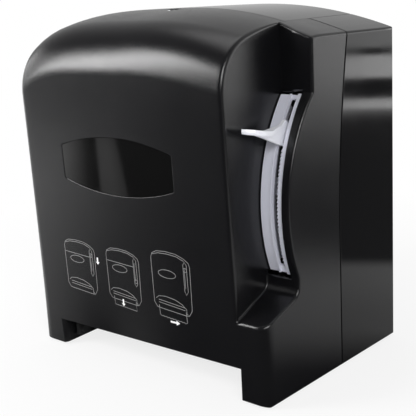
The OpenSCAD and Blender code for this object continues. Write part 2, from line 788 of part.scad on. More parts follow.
module drive_pinion() color(white) seated()
    difference() {
        translate([gear_x, drive_y, drive_z]) rotate([-90, 0, 0]) rotate([0, 90, 0]) {
            // A tooth gap faces the sector tooth that stands on the centre line
            for (i = [0:pinion_n - 1])
                rotate([0, 0, 180 + drive_dir + (i + 0.5) * 360 / pinion_n])
                    linear_extrude(gear_t) tooth(pinion_n);
            cylinder(r = gear_m * pinion_n / 2 - 1.2 * gear_m, h = gear_t);
        }
        bar(drive_y, drive_z, drive_shaft_r, gear_x - 1, gear_x + gear_t + 1);
    }

// One-way clutch housing between the pinion and the side plate.
module drive_collar() color(grey) seated()
    difference() {
        bar(drive_y, drive_z, drive_shaft_r + 4.5, plate_x + 0.4, gear_x);
        bar(drive_y, drive_z, drive_shaft_r, plate_x - 1, gear_x + 1);
    }

module pinch_shaft() color(steel) seated() bar(pinch_y, pinch_z, pinch_shaft_r, -plate_x - 1, plate_x + 1);

module pinch_sleeves() color(white) seated()
    for (i = [0:sleeve_n - 1]) let (x = (i + 0.5 - sleeve_n / 2) * sleeve_step) difference() {
        bar(pinch_y, pinch_z, pinch_r, x - sleeve_l / 2 + 2, x + sleeve_l / 2 - 2);
        bar(pinch_y, pinch_z, pinch_shaft_r, x - sleeve_l, x + sleeve_l);
    }

// Springs that push the pinch bushes towards the drive roller.
spring_l = 11;
spring_x = plate_in - 2.1;
module pinch_springs() color(steel) seated()
    for (s = [0, 1]) mirror([s, 0, 0])
        translate([spring_x, pinch_y - pinch_shaft_r - 4 - spring_l + 0.45, pinch_z]) rotate([0, 0, 90])
            coil(1.6, 0.4, 6, spring_l - 0.9);

// Seats behind the springs, screwed to the side plates.
module spring_seats() color(grey) seated()
    for (s = [0, 1]) mirror([s, 0, 0])
        translate([spring_x - 3, pinch_y - pinch_shaft_r - 4 - spring_l - 3, pinch_z - 4])
            cube([plate_in - spring_x + 3, 3, 8]);

// ---- Roll holders ----

pin_r = 5;
module roll_arm_right() color(grey) seated() {
    bar(roll_y, roll_z, 22, plate_in - 3, plate_in);
    bar(roll_y, roll_z, 12, arm_in, plate_in - 2);
    bar(roll_y, roll_z, pin_r, pin_end, arm_in + 1);
    for (a = [0:3])
        translate([0, roll_y, roll_z]) rotate([90 * a, 0, 0])
            translate([arm_in, -1.5, 0]) cube([plate_in - arm_in - 1, 3, 19]);
}

module plug(x0) difference() {
    union() {
        translate([x0, roll_y, roll_z]) rotate([0, -90, 0]) {
            cylinder(r1 = plug_r, r2 = plug_r - 2, h = plug_l, $fn = 64);
            translate([0, 0, -3]) cylinder(r = plug_r + 7, h = 3.01, $fn = 64);
        }
    }
    bar(roll_y, roll_z, pin_r + running, x0 - plug_l + 2.5, x0 + 10);
}

plug_x = arm_in - 3.3;
pin_end = plug_x - plug_l + 3;
module roll_plug_right() color(white) seated() plug(plug_x);
module roll_plug_left() color(white) seated() mirror([1, 0, 0]) plug(plug_x);

module roll_arm_left() color(grey) seated()
    difference() {
        union() {
            translate([-arm_in - 4, 0, 0]) rotate([90, 0, 90]) linear_extrude(4) hull() {
                translate([roll_y, roll_z]) circle(r = 15);
                translate([roll_y, arm_pivot_z]) circle(r = 9);
            }
            bar(roll_y, roll_z, pin_r, -arm_in - 1, -pin_end);
            translate([-arm_in - 4, roll_y, arm_pivot_z]) rotate([90, 0, 0])
                cylinder(r = 5, h = 18, center = true);
        }
        translate([-arm_in - 4, roll_y, arm_pivot_z]) rotate([90, 0, 0])
            cylinder(r = 2 + running, h = 30, center = true);
    }

module arm_pin() color(steel) seated() {
    translate([-arm_in - 4, roll_y, arm_pivot_z]) rotate([90, 0, 0]) cylinder(r = 2, h = 30, center = true);
    for (s = [-1, 1])
        difference() {
            translate([-plate_in, roll_y + s * 12.5 - 1.5, arm_pivot_z - 8]) cube([plate_in - arm_in + 2, 3, 16]);
            translate([-arm_in - 4, roll_y, arm_pivot_z]) rotate([90, 0, 0]) cylinder(r = 2 - eps, h = 40, center = true);
        }
}

module arm_leaf_spring() color(steel) seated()
    across(-plate_in, -plate_in + 0.8)
        polygon([[roll_y - 6, arm_pivot_z + 14], [roll_y + 6, arm_pivot_z + 14], [roll_y + 5, arm_pivot_z + 60],
            [roll_y - 5, arm_pivot_z + 60]]);

// ---- Lock ----

lock_y = 84;
lock_r = 8;
lock_top = side_h + crown_h - pow(top_level_y - lock_y, 2) / (2 * top_r) - 0.6;
keeper_r = 2.5;
keeper_y = top_seam_y + seam_gap + keeper_r + 0.5;
hook_r = keeper_y - lock_y + keeper_r + 1.2;
hook_z = lock_top - 22;

module lock_boss() translate([0, lock_y, lock_top - 14]) cylinder(r = lock_r + wall, h = 30);
module lock_hole() translate([0, lock_y, lock_top - 30]) cylinder(r = lock_r + running, h = 60);

module lock_barrel() color(steel) seated()
    translate([0, lock_y, 0]) difference() {
        union() {
            translate([0, 0, lock_top - 18]) cylinder(r = lock_r, h = 18);
            translate([0, 0, hook_z]) cylinder(r = 3.5, h = 6);
        }
        translate([-0.8, -4, lock_top - 5]) cube([1.6, 8, 10]);
        translate([0, 0, lock_top - 5]) cylinder(r = 2, h = 10);
    }

// Hook at rest turned away from its keeper.
module lock_hook() color(steel) seated()
    translate([0, lock_y, hook_z]) rotate([0, 0, 90]) difference() {
        linear_extrude(3) union() {
            circle(r = 6);
            rotate(119) translate([0, -3]) square([hook_r + 2, 6]);
            polygon(concat([for (i = [0:10]) on_arc([0, 0], hook_r + 4, 70 + 56 * i / 10)],
                [for (i = [10:-1:0]) on_arc([0, 0], hook_r, 70 + 56 * i / 10)]));
        }
        translate([0, 0, -1]) cylinder(r = 3.5, h = 5);
    }

module lock_keeper() color(steel) seated() {
    z1 = side_h + crown_h - wall;
    translate([0, keeper_y, hook_z - 1]) cylinder(r = keeper_r, h = z1 - hook_z - 1.5);
    translate([-8, keeper_y - keeper_r, z1 - 3.7]) cube([16, 16, 3]);
}

rear_housing();
front_cover();
window_pane();
cover_pads();
housing_pads();
side_plate_left();
side_plate_right();
tie_rods();
tie_screws();
hinge_pins();
front_guide();
tear_bar();
paper_chute();
lever_guide();
guide_screws();
lever_shaft();
lever_arm();
lever_spring();
sector_gear();
pawl();
pawl_pin();
drive_shaft();
drive_core();
drive_sleeves();
drive_pinion();
drive_collar();
drive_bushes();
pinch_shaft();
pinch_sleeves();
pinch_bushes();
pinch_springs();
spring_seats();
roll_arm_right();
roll_plug_right();
roll_arm_left();
roll_plug_left();
arm_pin();
arm_leaf_spring();
lock_barrel();
lock_hook();
lock_keeper();
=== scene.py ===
# %% [markdown]
# A lever paper towel dispenser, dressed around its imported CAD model.
# The CAD model brings every working part with its real size and its joints.
# Blender adds what the eye judges: smooth moulded shells, soft edges and finishes.

# %% Load the frame
import json
import math

import bmesh
import bpy
from mathutils import Matrix, Quaternion, Vector


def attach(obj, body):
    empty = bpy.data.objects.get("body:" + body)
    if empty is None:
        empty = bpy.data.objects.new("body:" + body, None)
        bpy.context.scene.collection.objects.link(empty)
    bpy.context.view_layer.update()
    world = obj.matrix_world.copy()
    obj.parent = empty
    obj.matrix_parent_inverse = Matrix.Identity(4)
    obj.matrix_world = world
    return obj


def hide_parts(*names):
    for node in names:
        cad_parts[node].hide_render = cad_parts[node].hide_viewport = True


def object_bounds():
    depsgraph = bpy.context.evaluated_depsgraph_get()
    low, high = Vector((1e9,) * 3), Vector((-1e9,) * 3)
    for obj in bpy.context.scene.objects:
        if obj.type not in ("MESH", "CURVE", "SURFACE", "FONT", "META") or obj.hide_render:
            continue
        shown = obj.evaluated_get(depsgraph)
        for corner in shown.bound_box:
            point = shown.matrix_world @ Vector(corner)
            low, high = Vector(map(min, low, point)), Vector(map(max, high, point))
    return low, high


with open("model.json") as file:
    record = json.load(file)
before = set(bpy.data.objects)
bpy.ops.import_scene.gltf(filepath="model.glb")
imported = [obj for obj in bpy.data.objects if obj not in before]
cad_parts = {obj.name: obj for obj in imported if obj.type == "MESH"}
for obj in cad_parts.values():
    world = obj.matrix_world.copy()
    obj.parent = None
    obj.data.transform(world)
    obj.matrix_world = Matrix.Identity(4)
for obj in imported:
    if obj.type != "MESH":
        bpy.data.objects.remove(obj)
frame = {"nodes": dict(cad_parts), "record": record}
cad_low, cad_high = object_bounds()
print("CAD box", [round(v, 4) for v in cad_low], [round(v, 4) for v in cad_high])

# %% [markdown]
# The shells are described in the same measures as the CAD source, in millimetres:
# X points to the lever side, Y runs from the front bottom edge to the back, and Z
# stands on the underside of the body. The frame itself is in metres and centred,
# so one small function moves a point from body measures to the frame.

# %% Body measures
FRONT_W, BACK_W, BODY_D = 343.4, 377.4, 236.0
SIDE_H, CROWN_H, CROWN_LEFT, CROWN_RIGHT = 364.0, 32.0, 5.0, 2.1
FRONT_LEAN, BROW_R, TOP_R, TOP_LEVEL_Y = 0.0314, 56.0, 315.0, 110.0
WALL, PAD_H = 2.5, 2.5
EDGE_START, EDGE_FOOT, EDGE_BROW, EDGE_BEND = 0.92, 6.0, 26.0, 23.0
TAPER = (BACK_W - FRONT_W) / 2 / BODY_D
MID_Y = BODY_D - 1000 * cad_high[1]


def seated(x, y, z):
    """Body measures in millimetres to the frame in metres."""
    return Vector((x / 1000, (y - MID_Y) / 1000, (z + PAD_H) / 1000))


# %% [markdown]
# The camera comes before any modelling, so that every later decision is judged in
# the photograph's own view. It stands to the right of the front and a little above
# the middle, far enough away that the sides hardly converge.

# %% Camera
RIGHT = Vector((0.784264, 0.618656, -0.046839))
UP = Vector((-0.092799, 0.191615, 0.977073))
BACK = Vector((0.613447, -0.761937, 0.207688))
FOCAL_PX, IMAGE_PX, SENSOR = 815.364, 416.0, 36.0

camera = bpy.data.objects.new("photo_camera", bpy.data.cameras.new("photo_camera"))
bpy.context.scene.collection.objects.link(camera)
turn = Matrix((RIGHT, UP, BACK)).transposed()
camera.matrix_world = Matrix.Translation(seated(612.6, -605.8, 400.7)) @ turn.to_4x4()
camera.data.sensor_width = SENSOR
camera.data.lens = FOCAL_PX / IMAGE_PX * SENSOR
camera.data.shift_x = -14.68 / IMAGE_PX
camera.data.shift_y = -33.03 / IMAGE_PX
camera.data.clip_start, camera.data.clip_end = 0.05, 20
bpy.context.scene.camera = camera
print("lens", round(camera.data.lens, 2), "mm")

# %% [markdown]
# Every shell starts from flat outlines that are pushed along an axis, and from one
# lofted body. Building them in mesh code keeps each number visible, and gives closed
# solids that can be cut from each other like moulds.

# %% Mesh helpers
def solid(name, points, faces):
    """A mesh object from points in body measures."""
    mesh = bpy.data.meshes.new(name)
    mesh.from_pydata([seated(*p) for p in points], [], faces)
    shape = bmesh.new()
    shape.from_mesh(mesh)
    bmesh.ops.recalc_face_normals(shape, faces=shape.faces)
    shape.to_mesh(mesh)
    shape.free()
    obj = bpy.data.objects.new(name, mesh)
    bpy.context.scene.collection.objects.link(obj)
    return obj


def loft(name, rings):
    """Joins closed rings of equal length into one solid with flat ends."""
    n = len(rings[0])
    points = [p for ring in rings for p in ring]
    faces = [tuple(range(n)), tuple((len(rings) - 1) * n + i for i in range(n))]
    for k in range(len(rings) - 1):
        for i in range(n):
            j = (i + 1) % n
            faces.append((k * n + i, k * n + j, (k + 1) * n + j, (k + 1) * n + i))
    return solid(name, points, faces)


def across(name, outline, x0, x1):
    """A (y, z) outline pushed along X."""
    return loft(name, [[(x, y, z) for y, z in outline] for x in (x0, x1)])


def upward(name, outline, z0, z1):
    """An (x, y) outline pushed along Z."""
    return loft(name, [[(x, y, z) for x, y in outline] for z in (z0, z1)])


def block(name, low, high):
    (x0, y0, z0), (x1, y1, z1) = low, high
    return upward(name, [(x0, y0), (x1, y0), (x1, y1), (x0, y1)], z0, z1)


def circle(centre, radius, sides=48):
    return [(centre[0] + radius * math.cos(2 * math.pi * i / sides),
             centre[1] + radius * math.sin(2 * math.pi * i / sides)) for i in range(sides)]


def bar(name, centre, radius, x0, x1):
    """A round bar along X."""
    return across(name, circle(centre, radius), x0, x1)


def post(name, x, y, radius, z0, z1):
    """A round bar along Z."""
    return upward(name, circle((x, y), radius), z0, z1)


def carve(obj, tools, how="DIFFERENCE"):
    """Cuts the tools out of obj, or joins them to it, and clears them away."""
    for tool in tools:
        step = obj.modifiers.new(how.lower(), "BOOLEAN")
        step.operation, step.solver, step.object = how, "MANIFOLD", tool
        graph = bpy.context.evaluated_depsgraph_get()
        mesh = bpy.data.meshes.new_from_object(obj.evaluated_get(graph))
        obj.modifiers.remove(step)
        old, obj.data = obj.data, mesh
        bpy.data.meshes.remove(old)
        bpy.data.meshes.remove(tool.data)
    return obj


def grown(outline, by):
    """The outline set outwards by a distance, with mitred corners."""
    area = sum(a[0] * b[1] - b[0] * a[1] for a, b in zip(outline, outline[1:] + outline[:1]))
    out, n = [], len(outline)
    for i in range(n):
        p, q, r = (Vector(outline[k % n]) for k in (i - 1, i, i + 1))
        a, b = (q - p).normalized(), (r - q).normalized()
        flip = 1 if area > 0 else -1
        na, nb = Vector((a.y, -a.x)) * flip, Vector((b.y, -b.x)) * flip
        mitre = (na + nb) / (1 + na.dot(nb))
        out.append(tuple(q + mitre * by))
    return out


# %% [markdown]
# The body is one domed form: the front leans out a little, bends over the brow and
# runs back in a long shallow curve, and it gets narrower towards the front. It is
# lofted from side profiles. The profiles crowd together near the edges, where the
# surface turns fastest, so that highlights run smoothly round the corners.

# %% The domed body
def side_rounding(s):
    k = max(0.0, (abs(s) - EDGE_START) / (1 - EDGE_START))
    return 1 - math.sqrt(max(0.0, 1 - k * k))


def side_profile(s, inset):
    """(y, z) points of the body at station s, from -1 on the left to 1 on the right."""
    k = side_rounding(s)
    lean = FRONT_LEAN - EDGE_BROW / SIDE_H * k
    foot = EDGE_FOOT * k + inset
    bend = BROW_R + EDGE_BEND * k - inset
    big = TOP_R - inset
    top = SIDE_H + CROWN_H * (1 - abs(s) ** (CROWN_LEFT if s < 0 else CROWN_RIGHT)) - inset
    a = math.atan(lean)
    low_z = top - big
    b = foot + bend / math.cos(a) - TOP_LEVEL_Y
    m = 1 + lean * lean
    h = lean * b + low_z
    cz = (h + math.sqrt(h * h - m * (b * b + low_z ** 2 - (big - bend) ** 2))) / m
    cy = foot + bend / math.cos(a) - lean * cz
    a0 = math.pi + a
    a1 = math.pi / 2 + math.atan((TOP_LEVEL_Y - cy) / (cz - low_z))
    start = (foot - lean * inset, inset)
    brow = [(cy + bend * math.cos(a0 + (a1 - a0) * i / 20), cz + bend * math.sin(a0 + (a1 - a0) * i / 20))
            for i in range(21)]
    front = [(start[0] + (brow[0][0] - start[0]) * i / 16, start[1] + (brow[0][1] - start[1]) * i / 16)
             for i in range(16)]
    over = [(TOP_LEVEL_Y + big * math.cos(a1 + (math.pi / 2 - a1) * i / 10),
             low_z + big * math.sin(a1 + (math.pi / 2 - a1) * i / 10)) for i in range(1, 11)]
    end = BODY_D - inset
    back = [(TOP_LEVEL_Y + (end - TOP_LEVEL_Y) * i / 8, top) for i in range(1, 9)]
    wall = [(end, top + (inset - top) * i / 8) for i in range(1, 9)]
    sole = [(end + (start[0] - end) * i / 8, inset) for i in range(1, 8)]
    return front + brow + over + back + wall + sole


SIDE_SOFT = 2.6
soft_start = 1 - SIDE_SOFT / (FRONT_W / 2)
middle = [EDGE_START * (i / 16) for i in range(-16, 17)]
edge = [EDGE_START + (soft_start - EDGE_START) * math.sin(math.radians(90 * i / 10)) for i in range(1, 11)]
edge += [soft_start + (1 - soft_start) * math.sin(math.radians(90 * i / 8)) for i in range(1, 9)]
STATIONS = [-s for s in reversed(edge)] + middle + edge


def body_form(name, inset=0.0, soft=False):
    """The body set in by a wall, or its outer skin with softened side edges."""
    rings = []
    for s in STATIONS:
        f = s * (1 - inset / (FRONT_W / 2))
        k = max(0.0, (abs(s) - soft_start) / (1 - soft_start)) if soft else 0.0
        trim = inset + SIDE_SOFT * (1 - math.sqrt(max(0.0, 1 - k * k)))
        rings.append([(f * (FRONT_W / 2 + TAPER * y), y, z) for y, z in side_profile(s, trim)])
    return loft(name, rings)


# %% [markdown]
# Materials, floor and world are all built from shader nodes. Three small helpers keep
# that readable: one empties a node tree, one places a node and one connects two.

# %% Node helpers
def nodes_of(owner):
    owner.use_nodes = True
    owner.node_tree.nodes.clear()
    return owner.node_tree


def put(tree, kind, **settings):
    node = tree.nodes.new(kind)
    for key, value in settings.items():
        if key in node.inputs:
            node.inputs[key].default_value = value
        else:
            setattr(node, key, value)
    return node


def link(tree, a, out, b, into):
    tree.links.new(a.outputs[out], b.inputs[into])


def ramp(tree, stops):
    """A colour ramp through grey values, given as (position, value)."""
    node = put(tree, "ShaderNodeValToRGB")
    for position, value in stops:
        node.color_ramp.elements.new(position).color = (value, value, value, 1)
    node.color_ramp.elements.remove(node.color_ramp.elements[0])
    return node


# %% [markdown]
# The object stands on a plain pale floor. A studio for black, half glossy plastic is
# mostly a question of what the plastic mirrors. The camera sees a white sweep. Mirror
# rays meet painted reflections on the floor instead: painted dark in front, a few broad
# painted stripes to the right that stand in for the lit cards of a photo set, and a painted
# pale part on the left. This is staging for one picture and one view. For any other
# use, one plain floor for all rays is the better choice.

# %% Floor
bpy.context.scene.view_settings.view_transform = "Standard"
STRIPES_TOWARDS = (0.61, 0.79)

floor = block("floor", (-9000, -9000, -10), (9000, 9000, -PAD_H))
paper = bpy.data.materials.new("pale_floor")
tree = nodes_of(paper)
place = put(tree, "ShaderNodeTexCoord")
path = put(tree, "ShaderNodeLightPath")
# Painted reflection stripes: distance from the object towards the back right, in metres.
along = put(tree, "ShaderNodeVectorMath", operation="DOT_PRODUCT")
along.inputs[1].default_value = (*STRIPES_TOWARDS, 0.0)
stripes = ramp(tree, ((0.0, 0.04), (0.04, 0.04), (0.10, 0.72), (0.19, 0.98), (0.215, 0.11), (0.60, 0.11),
                      (0.80, 0.12), (1.0, 0.15)))
stripes.color_ramp.interpolation = "EASE"
span = put(tree, "ShaderNodeMapRange", **{"From Min": 0.0, "From Max": 2.4})
# To the left of the object the mirror rays see a painted pale reflection again, beyond one narrow strip.
leftward = put(tree, "ShaderNodeVectorMath", operation="DOT_PRODUCT")
leftward.inputs[1].default_value = (-0.67, 0.742, 0.0)
strip = put(tree, "ShaderNodeMapRange", **{"From Min": -0.2, "From Max": 0.3})
pale = ramp(tree, ((0.0, 0.03), (0.18, 0.03), (0.19, 0.20), (0.235, 0.30), (0.285, 0.30), (0.295, 0.03),
                   (0.34, 0.08), (0.50, 0.66), (1.0, 0.75)))
near_side = put(tree, "ShaderNodeMath", operation="LESS_THAN")
near_side.inputs[1].default_value = -0.05
pale_left = put(tree, "ShaderNodeMath", operation="MULTIPLY")
painted_reflection = put(tree, "ShaderNodeMix", data_type="RGBA", blend_type="LIGHTEN")
painted_reflection.inputs[0].default_value = 1.0
mirrored = put(tree, "ShaderNodeMix", data_type="RGBA")
mirrored.inputs[6].default_value = (0.9, 0.9, 0.9, 1)
surface = put(tree, "ShaderNodeBsdfPrincipled", **{"Roughness": 0.9, "Specular IOR Level": 0.0})
glow = put(tree, "ShaderNodeEmission", Color=(1, 1, 1, 1), Strength=1.0)
reach = put(tree, "ShaderNodeVectorMath", operation="LENGTH")
fade = put(tree, "ShaderNodeMapRange", **{"From Min": 0.25, "From Max": 0.8, "To Min": 0.8})
shown = put(tree, "ShaderNodeMath", operation="MULTIPLY")
mix = put(tree, "ShaderNodeMixShader")
link(tree, place, "Object", along, 0)
link(tree, along, "Value", span, "Value")
link(tree, span, "Result", stripes, "Fac")
# Only mirror rays see the painted reflections; all other rays see the plain floor colour.
link(tree, path, "Is Glossy Ray", mirrored, 0)
link(tree, place, "Object", leftward, 0)
link(tree, leftward, "Value", strip, "Value")
link(tree, strip, "Result", pale, "Fac")
link(tree, along, "Value", near_side, 0)
tree.links.new(pale.outputs["Color"], pale_left.inputs[0])
link(tree, near_side, 0, pale_left, 1)
tree.links.new(stripes.outputs["Color"], painted_reflection.inputs[6])
tree.links.new(pale_left.outputs[0], painted_reflection.inputs[7])
tree.links.new(painted_reflection.outputs[2], mirrored.inputs[7])
tree.links.new(mirrored.outputs[2], surface.inputs["Base Color"])
link(tree, place, "Object", reach, 0)
link(tree, reach, "Value", fade, "Value")
link(tree, path, "Is Camera Ray", shown, 0)
link(tree, fade, "Result", shown, 1)
link(tree, shown, 0, mix, 0)
link(tree, surface, "BSDF", mix, 1)
link(tree, glow, "Emission", mix, 2)
link(tree, mix, 0, put(tree, "ShaderNodeOutputMaterial"), "Surface")
floor.data.materials.append(paper)

# %% [markdown]
# The world is white to the camera. To every other ray it is a dim room that gets
# brighter towards the wall behind the object, so the black plastic stays black.

# %% World
world = bpy.data.worlds.new("studio")
bpy.context.scene.world = world
tree = nodes_of(world)
white = put(tree, "ShaderNodeBackground", Color=(1, 1, 1, 1), Strength=1.0)
room = put(tree, "ShaderNodeBackground", Color=(1, 1, 1, 1))
path = put(tree, "ShaderNodeLightPath")
aim = put(tree, "ShaderNodeTexCoord")
part = put(tree, "ShaderNodeSeparateXYZ")
behind = put(tree, "ShaderNodeMapRange", interpolation_type="SMOOTHSTEP",
             **{"From Min": -0.5, "From Max": 0.8, "To Min": 0.06, "To Max": 0.58})
mix = put(tree, "ShaderNodeMixShader")
link(tree, aim, "Generated", part, 0)
link(tree, part, "Y", behind, "Value")
link(tree, behind, "Result", room, "Strength")
link(tree, path, "Is Camera Ray", mix, 0)
link(tree, room, "Background", mix, 1)
link(tree, white, "Background", mix, 2)
link(tree, mix, 0, put(tree, "ShaderNodeOutputWorld"), "Surface")


# %% [markdown]
# Soft lamps. The first is mirrored in the brow and draws the long highlight over the
# dome. The card on the left lifts the left edge, and the card and strips at the back
# right are mirrored in the side walls. The one above lights the top and the lips, and
# the one beside the camera lights the white parts.

# %% Lamps
def lamp(name, place, aim, width, height, radiance, tilt=0.0):
    """A soft box; its power follows from the brightness of its face."""
    light = bpy.data.lights.new(name, "AREA")
    light.shape, light.size, light.size_y = "RECTANGLE", width, height
    light.energy = radiance * math.pi * width * height
    obj = bpy.data.objects.new(name, light)
    bpy.context.scene.collection.objects.link(obj)
    obj.location = place
    facing = (Vector(aim) - Vector(place)).to_track_quat("-Z", "Y")
    obj.rotation_euler = (facing @ Quaternion((0, 0, 1), math.radians(tilt))).to_euler()


def right_lamp(name, y, z, height, radiance):
    """A wide card at the back right that faces back along the floor stripes."""
    x = 1.36
    lamp(name, (x, y, z), (x - STRIPES_TOWARDS[0], y - STRIPES_TOWARDS[1], z), 2.4, height, radiance)


lamp("brow_softbox", (-0.93, -1.04, 0.86), (0, -0.12, 0.35), 0.42, 0.98, 13.5, tilt=-22)
lamp("left_card", (-1.5, -0.35, 0.46), (0, 0, 0.3), 1.0, 0.9, 1.8)
right_lamp("right_card", 1.76, 0.72, 1.0, 1.5)
right_lamp("right_strip_high", 1.75, 0.155, 0.08, 3.2)
right_lamp("right_strip_low", 1.75, 0.022, 0.036, 3.4)
lamp("top_softbox", (-0.2, 0.2, 2.0), (0, 0, 0.3), 1.2, 1.0, 1.3)
lamp("fill_softbox", (1.5, -1.3, 1.3), (0.15, -0.05, 0.2), 1.0, 1.0, 8.5)

# %% [markdown]
# Finishes. The moulded plastic of such a dispenser has a fine spark-eroded grain that
# softens highlights, and a gloss that varies a little from handling. Both are node
# groups, so that each material can use them at its own scale.

# %% Node groups for grain and handling
def group(name, inputs, outputs):
    """A shader node group with named sockets; inputs are (name, default)."""
    tree = bpy.data.node_groups.new(name, "ShaderNodeTree")
    for label, value in inputs:
        socket = tree.interface.new_socket(name=label, in_out="INPUT", socket_type="NodeSocketFloat")
        socket.default_value = value
    for label, kind in outputs:
        tree.interface.new_socket(name=label, in_out="OUTPUT", socket_type=kind)
    return tree, tree.nodes.new("NodeGroupInput"), tree.nodes.new("NodeGroupOutput")


grain, inside, outside = group("moulded_grain", [("Scale", 2600.0), ("Depth", 0.5)],
                               [("Normal", "NodeSocketVector")])
place = put(grain, "ShaderNodeTexCoord")
noise = put(grain, "ShaderNodeTexNoise", Detail=3.0, Roughness=0.6)
bump = put(grain, "ShaderNodeBump", Distance=0.0002)
link(grain, place, "Object", noise, "Vector")
link(grain, inside, "Scale", noise, "Scale")
link(grain, inside, "Depth", bump, "Strength")
link(grain, noise, "Fac", bump, "Height")
link(grain, bump, "Normal", outside, "Normal")

handling, inside, outside = group("handling_gloss", [("Scale", 14.0), ("Low", 0.3), ("High", 0.45)],
                                  [("Roughness", "NodeSocketFloat"), ("Mask", "NodeSocketFloat")])
place = put(handling, "ShaderNodeTexCoord")
noise = put(handling, "ShaderNodeTexNoise", Detail=5.0, Roughness=0.55, Distortion=0.6)
spread = put(handling, "ShaderNodeMapRange", **{"From Min": 0.3, "From Max": 0.7})
link(handling, place, "Object", noise, "Vector")
link(handling, inside, "Scale", noise, "Scale")
link(handling, noise, "Fac", spread, "Value")
link(handling, inside, "Low", spread, "To Min")
link(handling, inside, "High", spread, "To Max")
link(handling, spread, "Result", outside, "Roughness")
link(handling, noise, "Fac", outside, "Mask")


# %% [markdown]
# Each finish keeps its own Principled shader. Its base colour moves between two close
# tones, its roughness comes from the handling group and its normal from the grain.

# %% Materials
def finish(name, dark, light, low, high, grain_scale, grain_depth, **shader):
    """A plastic, rubber or steel; low and high are the ends of its roughness."""
    material = bpy.data.materials.new(name)
    tree = nodes_of(material)
    worn = put(tree, "ShaderNodeGroup", node_tree=handling)
    worn.inputs["Low"].default_value, worn.inputs["High"].default_value = low, high
    fine = put(tree, "ShaderNodeGroup", node_tree=grain)
    fine.inputs["Scale"].default_value, fine.inputs["Depth"].default_value = grain_scale, grain_depth
    tone = put(tree, "ShaderNodeMix", data_type="RGBA")
    tone.inputs[6].default_value, tone.inputs[7].default_value = (*dark, 1), (*light, 1)
    surface = put(tree, "ShaderNodeBsdfPrincipled", **shader)
    link(tree, worn, "Mask", tone, 0)
    tree.links.new(tone.outputs[2], surface.inputs["Base Color"])
    link(tree, worn, "Roughness", surface, "Roughness")
    link(tree, fine, "Normal", surface, "Normal")
    link(tree, surface, "BSDF", put(tree, "ShaderNodeOutputMaterial"), "Surface")
    return material


MATERIALS = {
    "cover_black": finish("cover_satin_black", (0.0045, 0.0045, 0.0052), (0.0065, 0.0065, 0.0075),
                          0.21, 0.25, 2400, 0.35),
    "housing_black": finish("housing_gloss_black", (0.0035, 0.0035, 0.004), (0.005, 0.005, 0.0055),
                            0.05, 0.09, 1400, 0.02, **{"Specular IOR Level": 0.38}),
    "smoke_pane": finish("smoke_pane", (0.002, 0.002, 0.002), (0.003, 0.003, 0.003), 0.03, 0.05, 900, 0.01),
    "white_plastic": finish("lavender_white_plastic", (0.66, 0.67, 0.76), (0.72, 0.73, 0.82), 0.32, 0.42, 2000, 0.1),
    "grey_plastic": finish("grey_acetal", (0.25, 0.26, 0.28), (0.30, 0.31, 0.33), 0.35, 0.5, 1800, 0.15),
    "black_plastic": finish("inner_black_plastic", (0.015, 0.015, 0.016), (0.02, 0.02, 0.022), 0.45, 0.6, 1500, 0.3),
    "rubber": finish("black_rubber", (0.018, 0.018, 0.018), (0.028, 0.028, 0.028), 0.65, 0.85, 1200, 0.5),
    "steel": finish("brushed_steel", (0.50, 0.51, 0.53), (0.62, 0.63, 0.65), 0.22, 0.38, 1800, 0.1, Metallic=1.0),
    "spring_steel": finish("spring_steel", (0.42, 0.42, 0.44), (0.55, 0.55, 0.57), 0.2, 0.32, 1600, 0.1, Metallic=1.0),
}
LEVER_WHITE = finish("lever_white_plastic", (0.84, 0.85, 0.91), (0.90, 0.91, 0.96), 0.30, 0.38, 2000, 0.08)
PRINT_GREY = finish("pad_print_grey", (0.20, 0.20, 0.20), (0.28, 0.28, 0.28), 0.45, 0.6, 3000, 0.2)
PRINT_WHITE = finish("pad_print_white", (0.85, 0.85, 0.85), (0.9, 0.9, 0.9), 0.45, 0.6, 3000, 0.2)
DARK_STEEL = finish("near_black_steel", (0.02, 0.02, 0.021), (0.035, 0.035, 0.036), 0.4, 0.6, 1600, 0.3)

# %% [markdown]
# Where the two shells meet there is a seam. Seen from the side it runs straight up
# and then sweeps back; on top it steps forward round a wide tongue of the rear shell.
# One outline in front of the seam serves both shells, a small gap apart.

# %% Seam outlines
SEAM_Y, SEAM_BEND_Z, SEAM_R, SEAM_GAP = 127.0, 150.0, 1217.0, 1.4
TOP_SEAM_Y, TONGUE_HALF = 99.0, 135.0
FAR = 400.0


def seam_at(z):
    if z < SEAM_BEND_Z:
        return SEAM_Y
    return SEAM_Y + SEAM_R - math.sqrt(SEAM_R ** 2 - (z - SEAM_BEND_Z) ** 2)


def seam_line(shift, steps=40):
    rise = [SEAM_BEND_Z + (SIDE_H + CROWN_H + 20 - SEAM_BEND_Z) * i / steps for i in range(steps + 1)]
    return [(SEAM_Y + shift, -20)] + [(seam_at(z) + shift, z) for z in rise]


def before_seam(name, shift=0.0):
    line = seam_line(shift)
    return across(name, [(-80, -20)] + line + [(-80, line[-1][1])], -FAR, FAR)


def behind_seam(name, shift=0.0):
    line = seam_line(shift)
    return across(name, line + [(FAR, line[-1][1]), (FAR, -20)], -FAR, FAR)


def tongue(name, grow=0.0):
    return block(name, (-TONGUE_HALF - grow, TOP_SEAM_Y - grow, SIDE_H - 30), (TONGUE_HALF + grow, FAR, FAR + 60))


# %% [markdown]
# The lever recess is a scoop about the lever shaft: its back wall follows the curved
# guide strip, its floor slopes to the front with a rounded root, and above the strip
# a plain wall leans back. The cutter is that pocket of air, made from the same
# angles and radii as the guide in the CAD model.

# %% Recess, paper opening and window cutters
PIVOT = (218.0, 190.5)
GUIDE_R, GUIDE_LOW, GUIDE_HIGH = 173.5, -22.4, 41.2
RECESS_X, LIP_R, SCOOP_R, FLOOR_SLOPE, INNER_SOFT = 135.4, 178.5, 14.0, 0.37, 2.5
UPPER_IN_Y, UPPER_OUT_Y = 90.0, 78.0
GUIDE_X = RECESS_X + 1.4
GUIDE_END = GUIDE_X + 27.7 + 1


def half_width(y):
    return FRONT_W / 2 + TAPER * y


